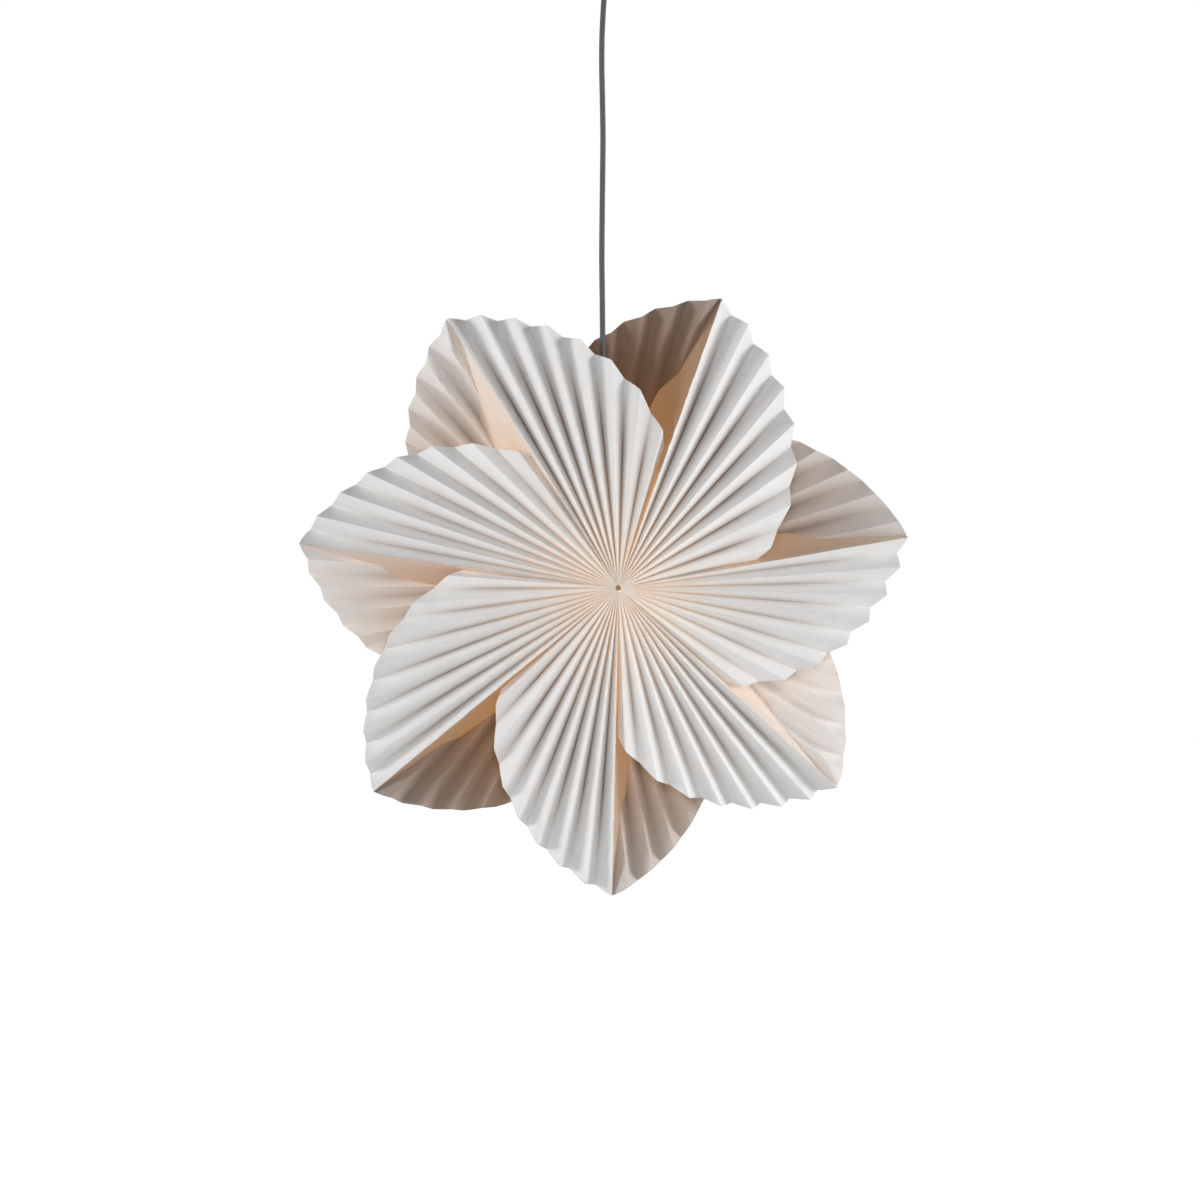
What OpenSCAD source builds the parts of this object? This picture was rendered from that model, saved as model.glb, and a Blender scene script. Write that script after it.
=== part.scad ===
// Pendant lamp shade in the form of a seven-armed star of pleated paper, with its lampholder,
// bulb, cord and ceiling cup. The star hangs upright below the ceiling and its front faces -Y.
// Origin: the middle of the ceiling cup's rim, on the ceiling. +Z is up. Millimetres.

/* [Star] */
// Distance from the star's axis to the tip of an arm
tip_radius = 305; // [270:5:340]
// Half of the star's depth, at the hub
hub_half_depth = 85; // [75:1:95]
// Half of the gap between the front and the back sheet, at the tips
tip_half_depth = 3; // [2:0.5:4]
// Height from the star's axis to the ceiling
star_drop = 668; // [640:2:720]

/* [Paper] */
// Thickness of the paper
paper = 0.4; // [0.3:0.05:0.5]
// Angle that one flat panel between two folds takes of the paper (degrees)
panel_angle = 5; // [4.5:0.1:5.2]
// Full pleats in one fan, the last one cut short
pleats = 7.25; // [5.25:1:8.25]
// Angle left between the end of a fan and the next ridge (degrees)
end_gap = 1.4; // [1.2:0.1:2]
// Radius of the hole at the hub, where all the fans end
hub_hole_r = 3.2; // [3:0.2:5]
// Sideways lean of a glue flap, for each millimetre of depth
flap_lean = 0.34; // [0.28:0.01:0.38]
// Distance from the star's axis to the inner end of a flap
flap_start = 118; // [110:1:130]
// Depth of the seam strip at the inner end of the flap, from where it runs out towards the hub
seam_depth = 12; // [8:0.5:16]
// Gap left between a glued edge and the sheet that it seats on
seat_gap = 0.3; // [0.2:0.05:0.5]

/* [Lampholder] */
// Outer diameter of the holder's body
holder_d = 28; // [27:0.5:34]
// Length of the holder's body
holder_len = 36; // [34:1:44]
// Wall of the holder's body
holder_wall = 2; // [1.5:0.1:2.4]
// Length of the cap on the body
cap_len = 22; // [20:1:28]
// Height of the body's mouth above the star's axis
holder_mouth = 34; // [30:1:40]
// Diameter of the grip that holds the cord
grip_d = 12; // [11:0.5:14]
// Length of that grip
grip_len = 10; // [8:1:14]
// Outer diameter of the threaded shell that takes the bulb
shell_d = 16.4; // [16:0.1:17]
// Wall of that shell
shell_wall = 1; // [0.8:0.1:1.2]
// Diameter of the wire that carries the star
wire_d = 1.6; // [1.2:0.1:2.4]

/* [Bulb] */
// Diameter of the bulb's globe
globe_d = 45; // [40:1:50]
// Diameter of the bulb's cap
bulb_cap_d = 13.4; // [13:0.1:13.8]
// Length of the bulb's cap
bulb_cap_len = 20; // [18:1:22]

/* [Cord and ceiling] */
// Diameter of the cord
cord_d = 5.5; // [4.5:0.1:5.8]
// Diameter of the ceiling cup at its rim
cup_d = 78; // [70:1:90]
// Height of the ceiling cup
cup_h = 52; // [48:1:60]
// Wall of the ceiling cup
cup_wall = 2; // [1.6:0.1:2.4]
// Diameter of the cup's neck
neck_d = 22; // [20:1:26]
// Diameter of the ceiling hook's wire
hook_d = 3.5; // [3:0.1:4]
// Inner radius of the ceiling hook
hook_r = 6; // [5.5:0.1:7]

/* [Hidden] */

// Directions of the seven tips as the star hangs, counter-clockwise from the right (degrees)
arm_angles = [9, 68, 121, 172, 221, 271, 319];
arms = len(arm_angles);
// How the rim falls away from the tip: shares of the tip radius over one arm gap
rim_fall = 0.40;
rim_curve = 0.13;
// How the folds spread over a fan: even near the ridge, wider near its end
even_share = 0.82;
spread_share = 0.18;
spread_power = 4;
// Least rise of a fold, as a slope, where the paper is stretched flat
least_rise = 0.012;
// How far the end of a fan drops towards the next sheet's flap, as a share of the drop that would touch it
end_tuck = 0.86;
// Round numbers along the cord, from the grip up to the collar: across, towards the back, above the axis
cord_route = [
  [0, 0, 102], [0, -1, 120], [0, -4, 160], [0, -5, 200], [0, -5, 240], [0, -4, 280], [-0.5, -2, 320],
  [0, -1, 360], [1, 0, 400], [1, 0, 440], [0, 0, 480], [-1, 0, 510], [-1, 0, 540], [0, 0, 570],
  [0.5, 0, 590], [0, 0, 610], [0, 0, 642]
];
cord_sides = 8;

slope = (hub_half_depth - tip_half_depth) / tip_radius;
// Usual tilt of a panel beside a ridge, and the paper's thickness measured along the star's axis there
panel_tilt = 55;
shift = paper / cos(panel_tilt);
grip_top = holder_mouth + holder_len + cap_len + grip_len;
cap_floor = holder_mouth + holder_len;
fit = 0.1;

function next_arm(k) = (k + 1) % arms;
function gap_after(k) = (arm_angles[next_arm(k)] - arm_angles[k] + 360) % 360;
function gap_before(k) = gap_after((k + arms - 1) % arms);

// Fold lines of a fan that fills an angle gap: [angle from the ridge, slope of the line below the hub plane]
function spread(share) = even_share * share + spread_share * pow(share, spread_power);
function half_pitch(gap, share) =
  (gap - end_gap) * (even_share + spread_share * spread_power * pow(share, spread_power - 1)) / pleats / 2;
function rise(gap, share) =
  max(least_rise, sqrt(max(0, pow(panel_angle, 2) - pow(half_pitch(gap, share), 2))) * PI / 180);
function fold(gap, i) = let (share = i / 2 / pleats)
  [(gap - end_gap) * spread(share), slope + (i % 2) * rise(gap, share)];
function end_rise() = end_tuck * tan(end_gap) / flap_lean;
function folds(gap) =
  concat([for (i = [0:floor(pleats * 2)]) fold(gap, i)], [[gap - end_gap, slope + end_rise()]]);
function rim(gap, angle) = let (u = angle / gap) tip_radius * (1 - rim_fall * u - rim_curve * u * u);

// A point of a fan that spreads clockwise from the ridge: out along the ridge, across, towards the viewer
function on_fold(f, r) = [r * cos(f[0]), -r * sin(f[0]), hub_half_depth - f[1] * r];
function along(f) = on_fold(f, 1) - [0, 0, hub_half_depth];
function unit(v) = v / norm(v);
function panel_normal(a, b) = unit(cross(along(b), along(a)));
function mitre(m, n) = paper * (m + n) / (1 + m * n);

// Where the plane of a flap meets one fold line of the opposite sheet
function flap_meets(f) = let (
    inner = hub_half_depth - 2 * shift - seat_gap / cos(panel_tilt),
    r = flap_lean * (hub_half_depth + inner) / (sin(f[0]) + flap_lean * (slope * cos(f[0]) + f[1]))
  ) [r * cos(f[0]), r * sin(f[0]), f[1] * r - inner];
function cut_at(a, b, x) = a + (b - a) * (a[0] - x) / (a[0] - b[0]);
function flap_edge(gap) = let (
    p = [for (f = folds(gap)) flap_meets(f)],
    outer = cut_at(p[0], p[1], tip_radius),
    inside = [for (i = [1:len(p) - 1]) if (p[i][0] > flap_start) p[i]],
    n = len(inside)
  ) concat([outer], inside, [cut_at(inside[n - 1], p[n + 1], flap_start)]);
// Corner in the flap's inner end, below the ridge, where the seam strip begins
function seam_corner() =
  [flap_start, flap_lean * seam_depth, hub_half_depth - slope * flap_start - seam_depth];

// One folded sheet: a pleated fan, creased along its ridge, and the flat glue flap beyond the crease.
// Each fold line has three stations: the hub, the start of the flap and the rim. Inwards of its start
// the flap is only a seam strip, which closes the slit beside the last panel of the next fan.
module paper_sheet(gap, opposite_gap) {
  f = folds(gap);
  n = len(f);
  edge = concat(flap_edge(opposite_gap), [seam_corner()]);
  m = len(edge);
  flap_normal = -unit([flap_lean * slope, 1, flap_lean]);
  normals = [for (i = [0:n - 2]) -panel_normal(f[i], f[i + 1])];
  lines = [for (i = [0:n - 1]) [hub_hole_r, flap_start * rim(gap, f[i][0]) / tip_radius, rim(gap, f[i][0])]];
  drops = [for (i = [0:n - 1])
    i == 0 ? mitre(normals[0], flap_normal)
    : i == n - 1 ? normals[n - 2] * paper
    : mitre(normals[i - 1], normals[i])];
  top = [for (i = [0:n - 1]) for (j = [0:2]) on_fold(f[i], lines[i][j])];
  under = [for (i = [0:n - 1]) for (j = [0:2]) on_fold(f[i], lines[i][j]) + drops[i]];
  flap_top = edge;
  flap_under = [for (p = edge) p + flap_normal * paper];
  points = concat(top, flap_top, under, flap_under);
  u = 3 * n + m;
  e = 3 * n;
  seam = e + m - 1;
  // Rows of the outer face, then the same rows of the inner face turned over
  panels = [for (i = [0:n - 2]) for (j = [0:1])
    let (a = 3 * i + j) each [[a, a + 1, a + 4], [a, a + 4, a + 3]]];
  flaps = [for (k = [0:m - 3]) [seam, e + k + 1, e + k]];
  outer = concat(panels, flaps, [[seam, e, 2], [seam, 2, 1], [0, seam, 1]]);
  inner = [for (t = outer) [t[2] + u, t[1] + u, t[0] + u]];
  // The edge of the sheet, once round: hub, fan end, rim, flap and seam strip
  border = concat(
    [for (i = [0:n - 1]) 3 * i], [3 * (n - 1) + 1, 3 * (n - 1) + 2],
    [for (i = [n - 2:-1:0]) 3 * i + 2], [for (k = [0:m - 1]) e + k]);
  walls = [for (i = [0:len(border) - 1])
    let (a = border[i], b = border[(i + 1) % len(border)]) each [[a, b, b + u], [a, b + u, a + u]]];
  polyhedron(points, concat(outer, inner, walls), convexity = 10);
}

// Turns a sheet from its own frame into the star's, for the arm at the given angle
module on_arm(k) translate([0, 0, -star_drop]) rotate([90, 0, 0]) rotate([0, 0, arm_angles[k]]) children();

module front_fan(k) color("whitesmoke") on_arm(k) paper_sheet(gap_before(k), gap_after(k));
module back_fan(k) color("linen") on_arm(k) rotate([180, 0, 0]) paper_sheet(gap_after(k), gap_before(k));

// Height in the part's frame of a height above the star's axis
function up(h) = h - star_drop;

// Knot of the thread that draws the fans together at a hub; the wire's end goes through it
knot_r = hub_hole_r - seat_gap;
knot_len = 6;
function knot_front() = hub_half_depth - slope * hub_hole_r;
module hub_knot(side) color("peru") translate([0, side * (knot_front() - knot_len), up(0)])
  rotate([side * -90, 0, 0]) difference() {
    union() {
      cylinder(r = knot_r, h = knot_len, $fn = 32);
      translate([0, 0, knot_len]) intersection() {
        sphere(r = knot_r, $fn = 32);
        cylinder(r = knot_r, h = knot_r, $fn = 32);
      }
    }
    translate([0, 0, -1]) cylinder(d = wire_d, h = knot_len / 2 + 1, $fn = 24);
  }

// Bent wire that hangs on the holder's neck and carries the star at both hubs
wire_seat = grip_top - grip_len + wire_d * 0.75 + fit;
loop_r = grip_d / 2 + wire_d * 0.75 + fit;
wire_foot = knot_front() - knot_len;
bead_d = wire_d * 1.5;
wire_straight = 8;
wire_in_knot = knot_len / 2 - 1;
module wire_leg(side) {
  start = [0, side * loop_r, up(wire_seat)];
  bend = [0, side * (wire_foot - wire_straight), up(0)];
  foot = [0, side * (wire_foot + wire_in_knot), up(0)];
  run = bend - start;
  translate(start) rotate([0, acos(run[2] / norm(run)), atan2(run[1], run[0])])
    cylinder(d = wire_d, h = norm(run), $fn = 24);
  translate(bend) sphere(d = bead_d, $fn = 24);
  translate(start) sphere(d = bead_d, $fn = 24);
  translate(bend) rotate([-90 * side, 0, 0]) cylinder(d = wire_d, h = norm(foot - bend), $fn = 24);
}
module hanger_wire() color("silver") {
  translate([0, 0, up(wire_seat)]) rotate_extrude($fn = 64) translate([loop_r, 0]) circle(d = wire_d, $fn = 24);
  wire_leg(1);
  wire_leg(-1);
}

// Round tube or rod of the lampholder from one height to another above the axis
module ring(outer_d, inner_d, low, high) translate([0, 0, up(low)]) difference() {
  cylinder(d = outer_d, h = high - low, $fn = 96);
  translate([0, 0, -1]) cylinder(d = inner_d, h = high - low + 2, $fn = 96);
}

bore_d = holder_d - 2 * holder_wall;
module holder_body() color("dimgray") {
  ring(holder_d, bore_d, holder_mouth, cap_floor);
  for (h = [6:3:18]) ring(holder_d + 1.2, holder_d - 0.4, holder_mouth + h, holder_mouth + h + 1.2);
}

cap_top = grip_top - grip_len;
cap_neck_d = grip_d + 2;
cord_hole_d = cord_d + 0.4;
cap_shoulder = cap_len * 0.45;
module holder_cap() color("dimgray") translate([0, 0, up(cap_floor)]) difference() {
  union() {
    cylinder(d = holder_d, h = cap_shoulder, $fn = 96);
    translate([0, 0, cap_shoulder])
      cylinder(d1 = holder_d, d2 = cap_neck_d, h = cap_len - cap_shoulder, $fn = 96);
  }
  translate([0, 0, -1]) cylinder(d = bore_d, h = 1 + cap_shoulder, $fn = 96);
  translate([0, 0, -1]) cylinder(d = cord_hole_d, h = cap_len + 2, $fn = 48);
}

module cord_grip() color("gray") difference() {
  union() {
    ring(grip_d, cord_hole_d, cap_top, grip_top - 2);
    translate([0, 0, up(grip_top - 2)]) cylinder(d1 = grip_d, d2 = grip_d - 2, h = 2, $fn = 48);
  }
  translate([0, 0, up(cap_top) - 1]) cylinder(d = cord_hole_d, h = grip_len + 2, $fn = 48);
}

// Contact block in the top of the body, which carries the shell, the contact and the screws
block_h = 12;
block_floor = cap_floor - block_h;
shell_bottom = holder_mouth + 4;
screw_x = 8;
screw_d = 3;
screw_floor = block_floor + 4;
stem_d = 4;
module contact_block() color("ivory") difference() {
  ring(bore_d - 2 * fit, stem_d, block_floor, cap_floor);
  for (side = [-1, 1]) translate([side * screw_x, 0, up(screw_floor)])
    cylinder(d = screw_d + 2 * fit, h = block_h, $fn = 32);
}

module thread_shell() color("gold") ring(shell_d, shell_d - 2 * shell_wall, shell_bottom, block_floor);

contact_len = 3;
module centre_contact() color("gold") {
  translate([0, 0, up(block_floor - contact_len)]) cylinder(d = 6, h = contact_len, $fn = 32);
  translate([0, 0, up(block_floor)]) cylinder(d = stem_d - 2 * fit, h = block_h - 1, $fn = 32);
}

module terminal_screws() color("silver") for (side = [-1, 1]) translate([side * screw_x, 0, up(screw_floor)]) {
  cylinder(d = screw_d, h = cap_floor - screw_floor, $fn = 32);
  translate([0, 0, cap_floor - screw_floor]) cylinder(d = screw_d + 2, h = 1.6, $fn = 32);
}

// Frosted bulb, sealed: globe, neck, cap and contact
bulb_tip = block_floor - contact_len;
cap_base = bulb_tip - bulb_cap_len;
globe_z = cap_base - globe_d / 2 - 8;
neck_z = globe_z + globe_d * 0.33;
module bulb() color("white") translate([0, 0, up(0)]) {
  translate([0, 0, globe_z]) sphere(d = globe_d, $fn = 96);
  translate([0, 0, neck_z]) cylinder(d1 = globe_d * 0.74, d2 = bulb_cap_d + 4, h = cap_base - neck_z, $fn = 96);
  translate([0, 0, cap_base]) cylinder(d = bulb_cap_d, h = bulb_cap_len - 3, $fn = 96);
  translate([0, 0, bulb_tip - 3]) cylinder(d1 = bulb_cap_d, d2 = 7, h = 2, $fn = 96);
  translate([0, 0, bulb_tip - 1]) cylinder(d = 7, h = 1, $fn = 96);
}

// The cord: a round tube swept along its route, from the grip to the collar
cord_end = cord_route[len(cord_route) - 1][2];
function smooth(p, i, t) = let (
    n = len(p) - 1, a = p[max(0, i - 1)], b = p[i], c = p[i + 1], d = p[min(n, i + 2)]
  ) 0.5 * (2 * b + (c - a) * t + (2 * a - 5 * b + 4 * c - d) * t * t + (3 * b - a - 3 * c + d) * t * t * t);
module cord() color("#505256") translate([0, 0, up(0)]) {
  path = concat([[0, 0, cap_floor + 4], [0, 0, grip_top]],
    [for (i = [0:len(cord_route) - 2]) for (t = [0.5, 1]) smooth(cord_route, i, t)]);
  n = len(path);
  points = [for (p = path) for (s = [0:cord_sides - 1])
    p + cord_d / 2 * [cos(360 * s / cord_sides), sin(360 * s / cord_sides), 0]];
  sides = [for (i = [0:n - 2]) for (s = [0:cord_sides - 1])
    let (a = i * cord_sides + s, b = i * cord_sides + (s + 1) % cord_sides)
    each [[a, a + cord_sides, b], [b, a + cord_sides, b + cord_sides]]];
  polyhedron(points, concat(sides, [[for (s = [0:cord_sides - 1]) s]],
    [[for (s = [cord_sides - 1:-1:0]) (n - 1) * cord_sides + s]]), convexity = 4);
}

// Ceiling cup: a turned shell, open at the ceiling, with a neck that the cord comes through
neck_h = 8;
module ceiling_cup() color("#4a4c50") rotate_extrude($fn = 96) polygon([
  [cord_hole_d / 2, -cup_h], [neck_d / 2 - 2, -cup_h], [neck_d / 2, -cup_h + 2],
  [neck_d / 2 + 1, -cup_h + neck_h],
  [cup_d * 0.36, -cup_h * 0.55], [cup_d * 0.46, -cup_h * 0.25], [cup_d / 2, 0],
  [cup_d / 2 - cup_wall, 0], [cup_d * 0.46 - cup_wall, -cup_h * 0.25],
  [cup_d * 0.36 - cup_wall, -cup_h * 0.55 + cup_wall],
  [neck_d / 2 - cup_wall, -cup_h + neck_h], [neck_d / 2 - cup_wall, -cup_h + cup_wall + 2],
  [cord_hole_d / 2, -cup_h + cup_wall + 2]
]);

// Collar on the cord that the cup stands on
collar_d = 11;
collar_h = 6;
module cup_collar() color("dimgray") translate([0, 0, -cup_h - collar_h]) difference() {
  cylinder(d = collar_d, h = collar_h, $fn = 48);
  translate([0, 0, -1]) cylinder(d = cord_hole_d, h = collar_h + 2, $fn = 48);
}

// Clamp with an eye, on the cord's upper end inside the cup, and the hook that it hangs on
clamp_d = 10;
clamp_low = up(cord_end) - 6;
clamp_h = 9;
clamp_top = clamp_low + clamp_h;
eye_z = clamp_top + 3;
eye_hole_d = hook_d + 2.5;
eye_t = 3;
module cord_hanger() color("dimgray") difference() {
  union() {
    translate([0, 0, clamp_low]) cylinder(d = clamp_d, h = clamp_h, $fn = 48);
    translate([-eye_t / 2, 0, eye_z]) rotate([0, 90, 0]) cylinder(d = clamp_d, h = eye_t, $fn = 48);
    translate([-eye_t / 2, -clamp_d / 2, clamp_top - 1]) cube([eye_t, clamp_d, eye_z - clamp_top + 1]);
  }
  translate([0, 0, clamp_low - 1]) cylinder(d = cord_hole_d, h = 7, $fn = 48);
  translate([-eye_t, 0, eye_z]) rotate([0, 90, 0]) cylinder(d = eye_hole_d, h = 2 * eye_t, $fn = 48);
}

// The hook's bottom lies in the eye; a stop on its shank bears on the ceiling
hook_rise = hook_r - sqrt(pow(hook_r, 2) - pow(eye_t / 2, 2));
hook_z = eye_z + hook_r + (eye_hole_d - hook_d) / 2 - hook_rise - fit;
stop_d = 9;
stop_h = 1.5;
shank_into_ceiling = 22;
module ceiling_hook() color("silver") {
  translate([0, 0, hook_z]) rotate([90, 0, 0]) rotate([0, 0, 130]) rotate_extrude(angle = 320, $fn = 64)
    translate([hook_r, 0]) circle(d = hook_d, $fn = 24);
  translate([0, 0, hook_z + hook_r]) cylinder(d = hook_d, h = shank_into_ceiling - hook_z - hook_r, $fn = 24);
  translate([0, 0, -stop_h]) cylinder(d = stop_d, h = stop_h, $fn = 48);
}

front_fan(0);  // front_fan_1
front_fan(1);  // front_fan_2
front_fan(2);  // front_fan_3
front_fan(3);  // front_fan_4
front_fan(4);  // front_fan_5
front_fan(5);  // front_fan_6
front_fan(6);  // front_fan_7
back_fan(0);  // back_fan_1
back_fan(1);  // back_fan_2
back_fan(2);  // back_fan_3
back_fan(3);  // back_fan_4
back_fan(4);  // back_fan_5
back_fan(5);  // back_fan_6
back_fan(6);  // back_fan_7
hub_knot(-1);  // front_hub_knot
hub_knot(1);  // back_hub_knot
hanger_wire();
holder_body();
holder_cap();
cord_grip();
contact_block();
thread_shell();
centre_contact();
terminal_screws();
bulb();
cord();
cup_collar();
ceiling_cup();
cord_hanger();
ceiling_hook();
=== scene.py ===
"""Pleated paper star pendant lamp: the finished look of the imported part."""

import logging
import math
import random
from dataclasses import dataclass, field
from enum import Enum

import bpy
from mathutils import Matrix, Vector


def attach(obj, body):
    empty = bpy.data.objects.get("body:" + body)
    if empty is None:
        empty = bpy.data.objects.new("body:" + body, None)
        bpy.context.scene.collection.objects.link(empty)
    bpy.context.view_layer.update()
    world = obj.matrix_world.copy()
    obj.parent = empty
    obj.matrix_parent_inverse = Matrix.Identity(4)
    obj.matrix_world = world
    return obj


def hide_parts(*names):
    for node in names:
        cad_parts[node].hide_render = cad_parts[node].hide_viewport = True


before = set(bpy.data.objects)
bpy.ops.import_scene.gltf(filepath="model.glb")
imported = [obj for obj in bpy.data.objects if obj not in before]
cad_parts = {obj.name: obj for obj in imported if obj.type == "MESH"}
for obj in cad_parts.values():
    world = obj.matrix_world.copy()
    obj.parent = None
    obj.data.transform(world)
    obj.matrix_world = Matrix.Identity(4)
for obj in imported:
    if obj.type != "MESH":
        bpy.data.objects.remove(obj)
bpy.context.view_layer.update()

LOG = logging.getLogger("star_lamp")
MM = 0.001
ROOT = "root"
FULL_TURN = 6.28
WELD = 1e-6

Point = tuple[float, float, float]
Colour = tuple[float, float, float, float]
Profile = list[tuple[float, float]]

BLACK: Colour = (0, 0, 0, 1)
WHITE: Colour = (1, 1, 1, 1)


class Side(Enum):
    """Which half of the star a sheet belongs to."""

    FRONT = "front"
    BACK = "back"


class Tone(Enum):
    """A value that every point of a sheet carries, from 0 to 1.

    Each of them paints light or shade into the paper's colour. The lamp-light tone runs from cold to the
    painted lamp light next to the lamp, the crease tone from open paper to the painted shade at the bottom of
    a fold, DUSK from full light to the painted shade of the dim inside of an arm, and THROUGH from none to a
    painted glow of all of the room's light that comes through the sheet from outside. The inner crease tone is
    the inner side's own painted crease shade, and goes once it has been used.
    """

    WARMTH = "warmth"
    CREASE = "crease"
    INNER_CREASE = "inner_crease"
    DUSK = "dusk"
    THROUGH = "through"


@dataclass(frozen=True)
class StarPlan:
    """The star's driving sizes, in millimetres and degrees, as the solids have them.

    The scene's hub_hole is a little smaller than the solids', so that the knot fills it to the eye.
    """

    tip_radius: float = 305.0
    hub_half_depth: float = 85.0
    tip_half_depth: float = 3.0
    drop: float = 668.0
    paper: float = 0.4
    panel_angle: float = 5.0
    pleats: float = 7.25
    end_gap: float = 1.4
    hub_hole: float = 2.95
    flap_lean: float = 0.34
    flap_start: float = 118.0
    seam_depth: float = 12.0
    end_tuck: float = 0.86
    seat_gap: float = 0.3
    rim_fall: float = 0.40
    rim_curve: float = 0.13
    even_share: float = 0.82
    spread_share: float = 0.18
    spread_power: int = 4
    least_rise: float = 0.012
    panel_tilt: float = 55.0
    arms: tuple[float, ...] = (9.0, 68.0, 121.0, 172.0, 221.0, 271.0, 319.0)

    @property
    def slope(self) -> float:
        """Fall of a ridge towards the tip, for each millimetre outwards."""
        return (self.hub_half_depth - self.tip_half_depth) / self.tip_radius

    def gap_after(self, arm: int) -> float:
        """Angle from one arm to the next, counter-clockwise."""
        return (self.arms[(arm + 1) % len(self.arms)] - self.arms[arm]) % 360.0

    def gap_before(self, arm: int) -> float:
        """Angle from one arm to the one before it."""
        return self.gap_after((arm - 1) % len(self.arms))

    def folds(self, gap: float) -> list[tuple[float, float]]:
        """Fold lines of a fan that fills an angle gap.

        Args:
            gap: angle between the fan's own ridge and the next, in degrees.

        Returns:
            The angle of each fold from the ridge, and its slope below the hub plane.
        """
        lines = []
        span = gap - self.end_gap
        for step in range(int(self.pleats * 2) + 1):
            share = step / 2 / self.pleats
            angle = span * (self.even_share * share + self.spread_share * share**self.spread_power)
            widening = self.spread_share * self.spread_power * share ** (self.spread_power - 1)
            half = span * (self.even_share + widening) / self.pleats / 2
            rise = math.radians(math.sqrt(max(0.0, self.panel_angle**2 - half**2)))
            lines.append((angle, self.slope + (step % 2) * max(self.least_rise, rise)))
        end_rise = self.end_tuck * math.tan(math.radians(self.end_gap)) / self.flap_lean
        lines.append((span, self.slope + end_rise))
        return lines

    def rim(self, gap: float, angle: float) -> float:
        """Radius of the rim at an angle from the ridge."""
        share = angle / gap
        return self.tip_radius * (1 - self.rim_fall * share - self.rim_curve * share * share)

    def flap_edge(self, opposite_gap: float) -> list[Vector]:
        """Free edge of a flap, where its plane meets the folds of the opposite sheet.

        Args:
            opposite_gap: angle gap that the opposite sheet of this arm fills.

        Returns:
            The edge's corners from the tip inwards, in the sheet's own frame.
        """
        tilt, lean = math.cos(math.radians(self.panel_tilt)), self.flap_lean
        inner = self.hub_half_depth - 2 * (self.paper / tilt) - self.seat_gap / tilt
        corners = []
        for angle, fall in self.folds(opposite_gap):
            sine, cosine = math.sin(math.radians(angle)), math.cos(math.radians(angle))
            radius = lean * (self.hub_half_depth + inner) / (sine + lean * (self.slope * cosine + fall))
            corners.append(Vector((radius * cosine, radius * sine, fall * radius - inner)))
        kept = [corner for corner in corners[1:] if corner.x > self.flap_start]
        after = corners[len(kept) + 1]
        return [
            cut_at(corners[0], corners[1], self.tip_radius),
            *kept,
            cut_at(kept[-1], after, self.flap_start),
        ]

    def to_world(self, point: Vector, arm: int, side: Side) -> Point:
        """Turns a point of a sheet's own frame into the part's frame.

        Args:
            point: distance out along the ridge, across it and forward, in millimetres.
            arm: number of the arm, from 0.
            side: half of the star that the sheet belongs to.

        Returns:
            The point in metres.
        """
        out, across, forward = point
        if side is Side.BACK:
            across, forward = -across, -forward
        turn = math.radians(self.arms[arm])
        east = out * math.cos(turn) - across * math.sin(turn)
        north = out * math.sin(turn) + across * math.cos(turn)
        return east * MM, -forward * MM, (north - self.drop) * MM


def cut_at(start: Vector, end: Vector, out: float) -> Vector:
    """Point of a line where its distance along the ridge has the given value."""
    return start.lerp(end, (start.x - out) / (start.x - end.x))


PLAN = StarPlan()


def deselect() -> None:
    """Leaves nothing selected, so that an operator acts on the new piece alone."""
    if bpy.context.object and bpy.context.object.mode != "OBJECT":
        bpy.ops.object.mode_set(mode="OBJECT")
    bpy.ops.object.select_all(action="DESELECT")


def select_only(piece: bpy.types.Object) -> None:
    """Makes one piece the selected and active one.

    Args:
        piece: the piece to act on next.
    """
    deselect()
    piece.select_set(True)
    bpy.context.view_layer.objects.active = piece


def apply_modifier(piece: bpy.types.Object, kind: str, **settings: object) -> None:
    """Adds a modifier with its settings and applies it.

    Args:
        piece: the piece that gets it.
        kind: the modifier's type.
        **settings: its values, by their names in Blender.
    """
    select_only(piece)
    modifier = piece.modifiers.new(kind.lower(), kind)
    for name, value in settings.items():
        setattr(modifier, name, value)
    bpy.ops.object.modifier_apply(modifier=modifier.name)


def merge_and_face_out(distance: float) -> None:
    """Merges the active piece's doubles and points its faces outwards.

    Args:
        distance: how near two points are that become one, in metres.
    """
    bpy.ops.object.mode_set(mode="EDIT")
    bpy.ops.mesh.select_all(action="SELECT")
    bpy.ops.mesh.remove_doubles(threshold=distance)
    bpy.ops.mesh.normals_make_consistent(inside=False)
    bpy.ops.object.mode_set(mode="OBJECT")


def turned(name: str, profile: Profile, sides: int = 96, hollow: bool = False,
           smooth_angle: float = 40.0) -> bpy.types.Object:
    """Turns a piece on the lamp's axis from a profile, by extruding a circle step by step.

    Args:
        name: the piece's name.
        profile: radius and height of each step, in millimetres from the part's origin.
        sides: sides of the circle.
        hollow: True for a wall whose profile comes back to its start.
        smooth_angle: edges up to this angle are shaded smooth, in degrees.

    Returns:
        The finished piece.
    """
    deselect()
    radius, height = profile[0]
    bpy.ops.mesh.primitive_circle_add(
        vertices=sides, radius=radius * MM, fill_type="NOTHING", location=(0, 0, height * MM)
    )
    piece = bpy.context.object
    piece.name = piece.data.name = name
    bpy.ops.object.mode_set(mode="EDIT")
    for (before, low), (after, high) in zip(profile, profile[1:]):
        bpy.ops.mesh.extrude_region_move(TRANSFORM_OT_translate={"value": (0, 0, (high - low) * MM)})
        scale = after / before
        bpy.ops.transform.resize(value=(scale, scale, 1), center_override=(0, 0, high * MM))
    bpy.ops.object.mode_set(mode="OBJECT")
    select_only(piece)
    bpy.ops.object.transform_apply(location=True, rotation=True, scale=True)
    merge_and_face_out(WELD)
    bpy.ops.object.shade_smooth_by_angle(angle=math.radians(smooth_angle))
    if not hollow:
        close_ends()
    return piece


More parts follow.
